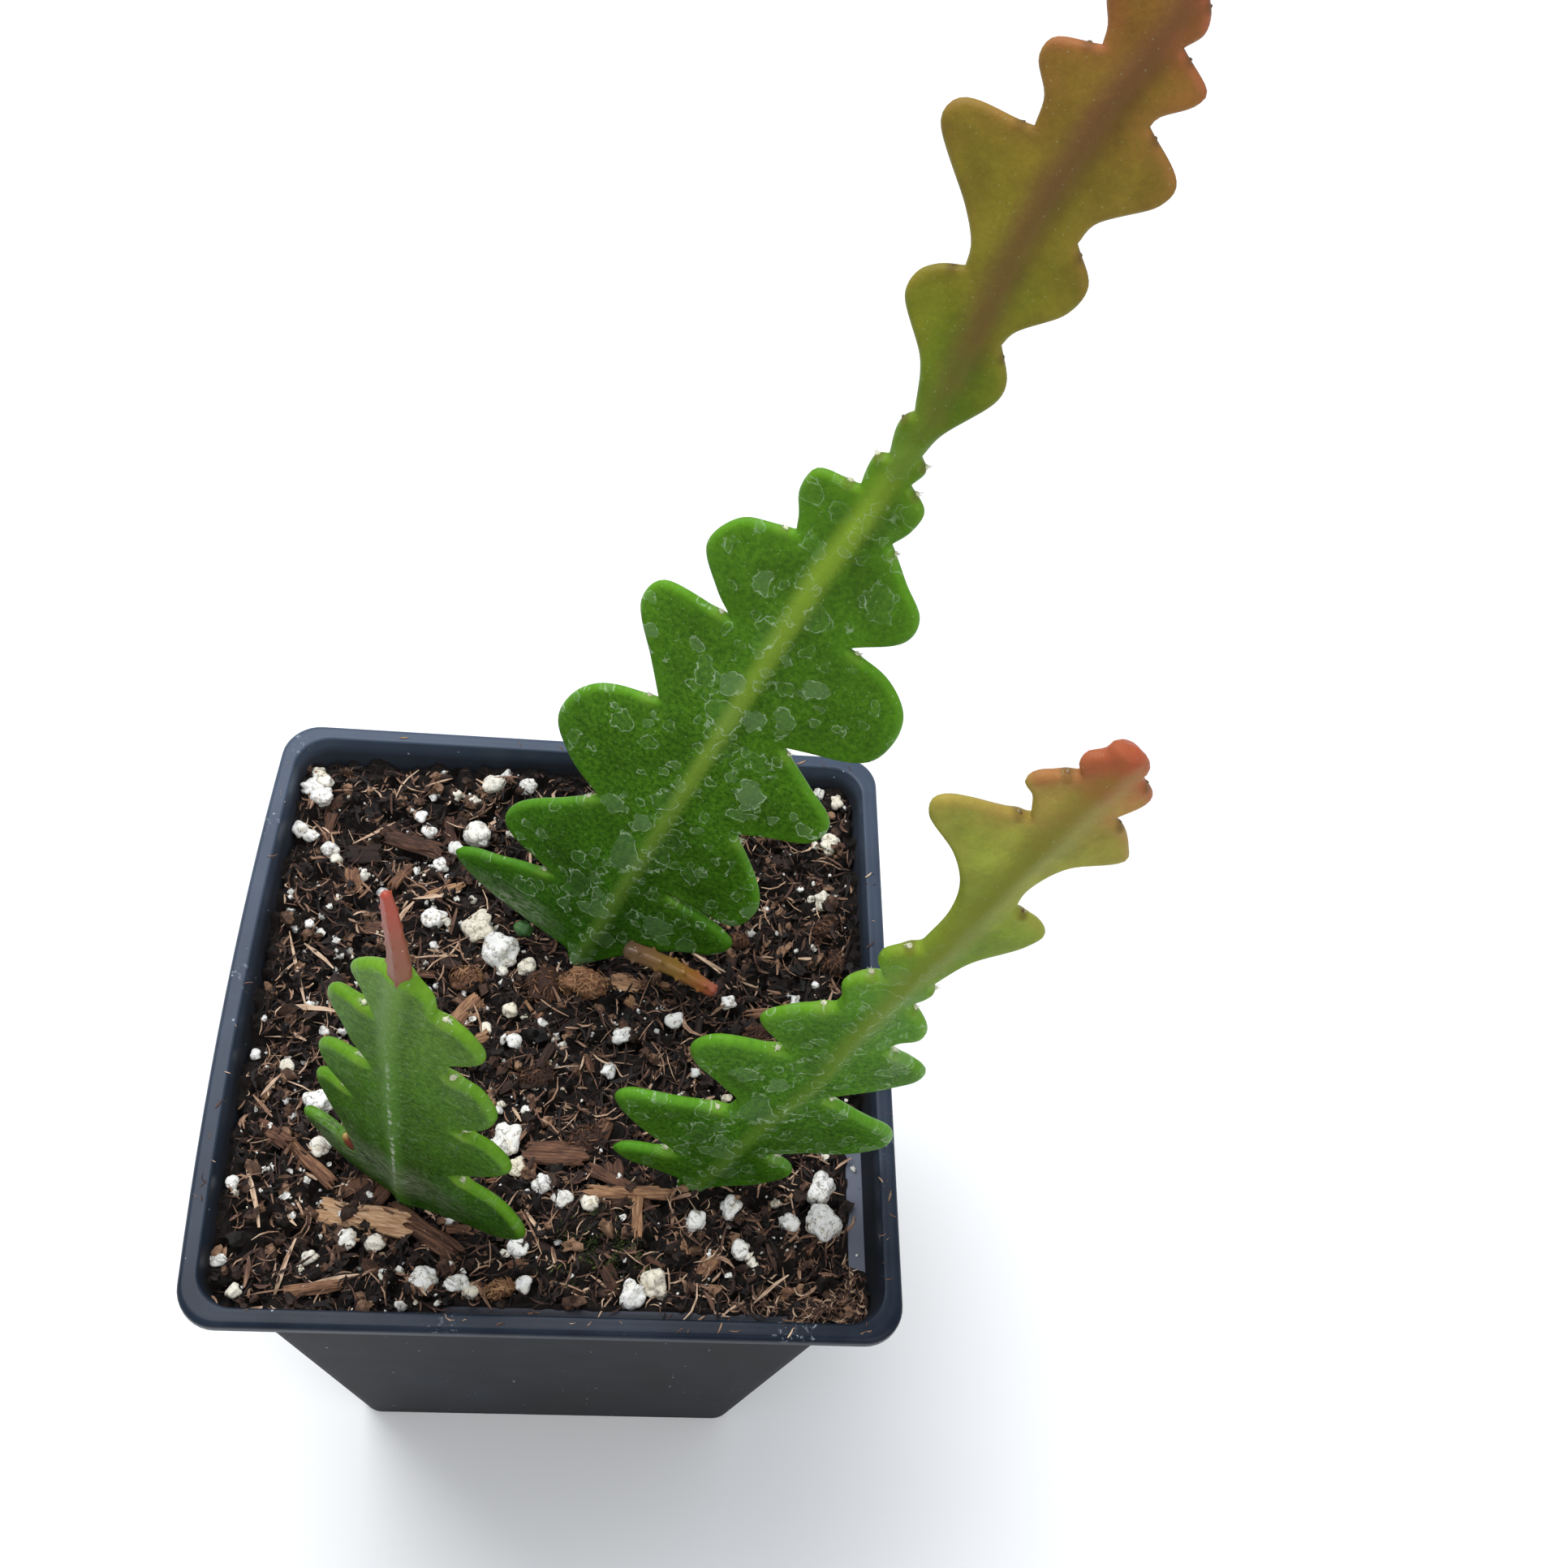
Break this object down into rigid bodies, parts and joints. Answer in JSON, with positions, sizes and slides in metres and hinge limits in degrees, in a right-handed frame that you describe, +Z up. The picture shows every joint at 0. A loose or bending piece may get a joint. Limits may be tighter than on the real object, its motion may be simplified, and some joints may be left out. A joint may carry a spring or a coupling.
{
  "type": "potted fishbone cactus",
  "caption": "Square plastic nursery pot of soil holding flat zigzag-lobed cactus stems of three heights, the tallest leaning back and to one side; stands on its flat base",
  "frame": {"origin": "Middle of the pot's underside, on the surface it stands on.", "axes": "+Z is up, out of the pot. +X is to the right and -Y is the side seen in the picture. The tallest stem leans towards +X."},
  "size_m": [0.1055, 0.0928, 0.2268],
  "materials": {
    "pot_plastic": "moulded slate-black plastic, satin to glossy, with white lime specks on the rim",
    "potting_soil": "rough, near-black peat with bark, coir fibre and white perlite",
    "stem_green": "fleshy waxy skin, satin, with pale water marks",
    "stem_olive": "fleshy waxy skin, satin, turning from green at the foot to olive with red tips"
  },
  "bodies": {
    "root": {"pot": "pot_plastic", "soil": "potting_soil", "stem_back": "stem_green", "stem_left": "stem_green", "stem_right": "stem_olive"}
  },
  "joints": []
}
